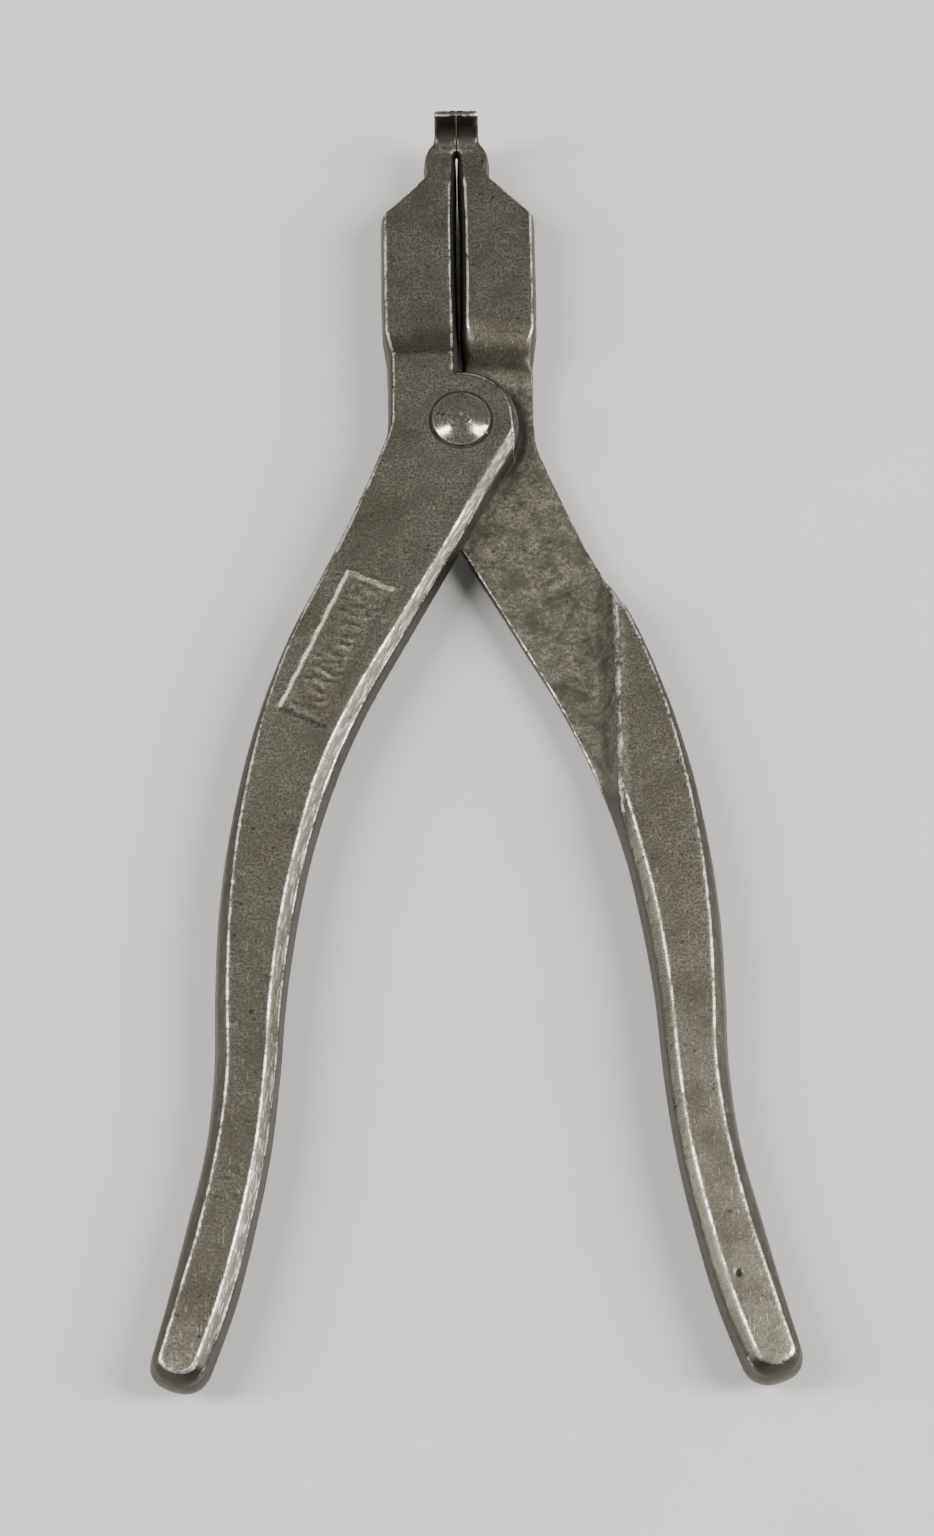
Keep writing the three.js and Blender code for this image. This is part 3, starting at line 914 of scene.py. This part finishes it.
def steel_relief_group():
    """Bump height of the fine grain, in shares of its depth: peened grain with a few short scratches across it."""
    tree, given, made = new_group(
        "SteelRelief",
        [("Position", "NodeSocketVector", None), ("Coarse", "NodeSocketFloat", 0.3)],
        [("Height", "NodeSocketFloat")],
    )
    place = given.outputs["Position"]
    fine = noise_node(tree, place, SCALE["fine relief"], 2.0, 0.6)
    coarse = noise_node(tree, place, SCALE["coarse relief"], 4.0, 0.65)
    stretch = tree.nodes.new("ShaderNodeMapping")
    stretch.inputs["Rotation"].default_value = (0, 0, SCRATCH_TURN)
    stretch.inputs["Scale"].default_value = SCRATCH_SCALES
    wire(tree, place, stretch.inputs["Vector"])
    scratch = noise_node(tree, stretch.outputs["Vector"], 1.0, 2.0, 0.5)
    low = mix_value(tree, given.outputs["Coarse"], fine, coarse)
    cut = ramp(tree, scratch, 0.68, 0.76)
    wire(tree, math_node(tree, "SUBTRACT", low, times(tree, cut, 0.35)), made.inputs["Height"])
    return tree


MASKS = steel_masks_group()
STREAKS = streaks_group()
RELIEF = steel_relief_group()
print("shared groups:", MASKS.name, STREAKS.name, RELIEF.name)

# %% [markdown]
# ## Steel finishes
#
# The forged steel and the rivet steel are the same recipe with other colours. The rivet was struck and then rubbed by
# years of pockets and hands, so it has a finer, brighter surface with little stain.

# %% Steel materials
SPECK_COLOR = (0.02, 0.017, 0.012, 1)
# The nearly black colour of dirt and of painted shade.
DIRT_AND_SHADE_COLOR = (0.018, 0.015, 0.011, 1)
BUMP_DEPTH = 0.1 * MM


def darker(color, share):
    return tuple(share * c for c in color[:3]) + (1,)


def laid_on(tree, mask, share, under, over):
    """The colour over on the colour under, where the mask is, covering it by a share."""
    return mix_color(tree, times(tree, mask, share), under, over)


def steel_color(tree, place, masks, face, stain, bright, raw):
    """Grain and mottle of the ground faces, the die skin, then painted shade on sloping sides, specks, dirt with
    painted shade in hollows, streaks and worn edges.
    """
    raw_skin, painted_shade, held, streaked = (attribute(tree, label) for label in ("raw", "painted_shade", "held", "streaked"))
    grain = ramp(tree, masks["Grain"], 0.40, 0.60)
    mottle = ramp(tree, noise_node(tree, place, SCALE["mottle"], 4.0, 0.7), 0.40, 0.60)
    flecks = ramp(tree, noise_node(tree, place, SCALE["fleck"], 4.0, 0.75), 0.44, 0.58)
    ground = mix_color(tree, grain, darker(face, 0.52), darker(face, 1.12))
    ground = laid_on(tree, mottle, 0.5, ground, darker(face, 0.62))
    ground = laid_on(tree, held, 0.55, ground, darker(face, 2.0))
    ground = laid_on(tree, times(tree, flecks, held), 0.6, ground, darker(face, 0.5))
    ground = laid_on(tree, masks["Stain"], 0.55, ground, stain)

    blotch = ramp(tree, noise_node(tree, place, SCALE["blotch"], 7.0, 0.8), 0.42, 0.60)
    skin = mix_color(tree, blotch, darker(raw, 1.15), darker(raw, 0.38))
    skin = mix_color(tree, grain, darker(raw, 0.5), skin)

    color = mix_color(tree, raw_skin, ground, skin)
    # Painted shade: sloping sides and the tip's walls go towards a fifth of the face's colour.
    color = mix_color(tree, painted_shade, color, darker(face, 0.2))
    color = laid_on(tree, masks["Speck"], 0.6, color, SPECK_COLOR)
    # Painted shade and dirt, nearly black.
    color = mix_color(tree, masks["DirtAndShade"], color, DIRT_AND_SHADE_COLOR)
    streaks = use_group(tree, STREAKS, {"Position": place, "Across": attribute(tree, "across")})
    color = laid_on(tree, times(tree, streaks["Streak"], streaked), 0.8, color, darker(bright, 0.32))
    return mix_color(tree, masks["Worn"], color, bright)


def steel(name, face, stain, bright, raw, rough, wear, bump):
    mat = bpy.data.materials.new(name)
    mat.use_nodes = True
    tree = mat.node_tree
    shader = tree.nodes["Principled BSDF"]
    place = tree.nodes.new("ShaderNodeTexCoord").outputs["Object"]
    raw_skin = attribute(tree, "raw")
    given = {"Position": place, "Edge": attribute(tree, "edge"), "Hollow": attribute(tree, "hollow"), "Wear": wear}
    masks = use_group(tree, MASKS, given)
    wire(tree, steel_color(tree, place, masks, face, stain, bright, raw), shader.inputs["Base Color"])

    matt = mix_value(tree, masks["Grain"], rough - 0.1, rough + 0.1)
    matt = mix_value(tree, raw_skin, matt, 0.55)
    matt = mix_value(tree, masks["DirtAndShade"], matt, 0.7)
    matt = mix_value(tree, masks["Worn"], matt, 0.36)
    wire(tree, matt, shader.inputs["Roughness"])
    wire(tree, mix_value(tree, masks["DirtAndShade"], 0.92, 0.3), shader.inputs["Metallic"])

    coarse = mix_value(tree, raw_skin, 0.45, 0.9)
    relief = use_group(tree, RELIEF, {"Position": place, "Coarse": coarse})
    bumps = tree.nodes.new("ShaderNodeBump")
    wire(tree, mix_value(tree, raw_skin, bump, 1.0), bumps.inputs["Strength"])
    bumps.inputs["Distance"].default_value = BUMP_DEPTH
    wire(tree, relief["Height"], bumps.inputs["Height"])
    wire(tree, bumps.outputs["Normal"], shader.inputs["Normal"])
    return mat


forged = steel(
    "ForgedSteel",
    face=(0.245, 0.225, 0.180, 1),
    stain=(0.105, 0.093, 0.067, 1),
    bright=(0.90, 0.88, 0.82, 1),
    raw=(0.235, 0.218, 0.172, 1),
    rough=0.42,
    wear=0.08,
    bump=0.5,
)
struck = steel(
    "RivetSteel",
    face=(0.48, 0.45, 0.38, 1),
    stain=(0.27, 0.245, 0.19, 1),
    bright=(0.70, 0.685, 0.64, 1),
    raw=(0.3, 0.28, 0.24, 1),
    rough=0.18,
    wear=0.0,
    bump=0.12,
)
for obj, mat in ((front_lever, forged), (rear_lever, forged), (rivet, struck)):
    obj.data.materials.append(mat)

# %% [markdown]
# ## Riding on the frame
#
# Each mesh goes with the body whose piece it stands for, and takes that piece's place.

# %% Bodies
for obj, body, node, slot in (
    (front_lever, "front", "front_lever", "forged_steel"),
    (rear_lever, "rear", "rear_lever", "forged_steel"),
    (rivet, "rear", "pivot_rivet", "rivet_steel"),
):
    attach(obj, body)
    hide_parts(node)
print("riding:", {o.name: body_of(o) for o in (front_lever, rear_lever, rivet)})

# %% [markdown]
# ## Floor, light and camera
#
# A plain pale floor at the back face's level. Two long soft lights stand left and right, a little above the tool, so
# that every edge that faces sideways picks up a bright line and faces that tilt towards the tips or the handle ends
# stay dark. A dim, even surrounding light keeps the flats readable.

# %% Floor
FLOOR_HALF, FLOOR_DROP = 3.0, 0.05 * MM
FLOOR_TONES = (0.66, 0.65, 0.63, 1), (0.71, 0.70, 0.685, 1)


def build_floor():
    bm = bmesh.new()
    bmesh.ops.create_grid(bm, x_segments=2, y_segments=2, size=FLOOR_HALF)
    mesh = bpy.data.meshes.new("Floor")
    bm.to_mesh(mesh)
    bm.free()
    obj = bpy.data.objects.new("Floor", mesh)
    obj.location = (0, 0, -FLOOR_DROP)
    bpy.context.scene.collection.objects.link(obj)
    mat = bpy.data.materials.new("PaleFloor")
    mat.use_nodes = True
    tree = mat.node_tree
    shader = tree.nodes["Principled BSDF"]
    place = tree.nodes.new("ShaderNodeTexCoord").outputs["Object"]
    tone = noise_node(tree, place, SCALE["floor"], 4.0)
    wire(tree, mix_color(tree, tone, *FLOOR_TONES), shader.inputs["Base Color"])
    shader.inputs["Roughness"].default_value = 0.7
    obj.data.materials.append(mat)
    return obj


build_floor()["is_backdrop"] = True


# %% Lights
CENTRE = Vector((0, -0.04, 0))
STRIP_LENGTH, STRIP_COLOR = 1.0, (1.0, 0.985, 0.96)
ROOM_COLOR, ROOM_STRENGTH = (0.95, 0.97, 1.0, 1), 0.18


def strip_light(name, place, width, power):
    data = bpy.data.lights.new(name, "AREA")
    data.shape = "RECTANGLE"
    data.size, data.size_y = width, STRIP_LENGTH
    data.energy = power
    data.color = STRIP_COLOR
    obj = bpy.data.objects.new(name, data)
    obj.location = place
    obj.rotation_mode = "QUATERNION"
    obj.rotation_quaternion = (CENTRE - Vector(place)).to_track_quat("-Z", "Y")
    bpy.context.scene.collection.objects.link(obj)
    obj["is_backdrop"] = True


strip_light("LeftStrip", (-0.68, -0.10, 0.52), width=0.16, power=12.0)
strip_light("RightStrip", (0.68, -0.10, 0.46), width=0.30, power=14.0)
world = bpy.data.worlds.new("SoftRoom")
world.use_nodes = True
background = world.node_tree.nodes["Background"]
background.inputs["Color"].default_value = ROOM_COLOR
background.inputs["Strength"].default_value = ROOM_STRENGTH
bpy.context.scene.world = world

# %% Camera
# It looks down at the tool, tilted back from straight above and turned a little.
TILT, TURN = math.radians(21.4), math.radians(0.9)
CAMERA_AT = (-0.00273, -0.22497, 0.45514)
LENS, SENSOR = 86.7, 36.0

look = Vector((math.sin(TILT) * math.sin(TURN), math.sin(TILT) * math.cos(TURN), -math.cos(TILT)))
above = Vector((math.cos(TILT) * math.sin(TURN), math.cos(TILT) * math.cos(TURN), math.sin(TILT)))
right = look.cross(above)
rows = [(*row, where) for row, where in zip(zip(right, above, -look), CAMERA_AT)]
camera_data = bpy.data.cameras.new("Camera")
camera_data.lens, camera_data.sensor_width = LENS, SENSOR
camera_data.clip_start, camera_data.clip_end = 0.01, 10.0
camera = bpy.data.objects.new("Camera", camera_data)
camera.matrix_world = Matrix(rows + [(0, 0, 0, 1)])
bpy.context.scene.collection.objects.link(camera)
bpy.context.scene.camera = camera
print("camera at", CAMERA_AT, "tilted", round(math.degrees(TILT), 1), "degrees")

# %% [markdown]
# ## Closing the frame
#
# The two boxes, the imported model's and this one's, are printed.

# %% Sizes
low_now, high_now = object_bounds()
for label, box in (("CAD box:", (low_at_load, high_at_load)), ("visual box:", (low_now, high_now))):
    print(label, [[round(v / MM, 2) for v in corner] for corner in box], "mm")
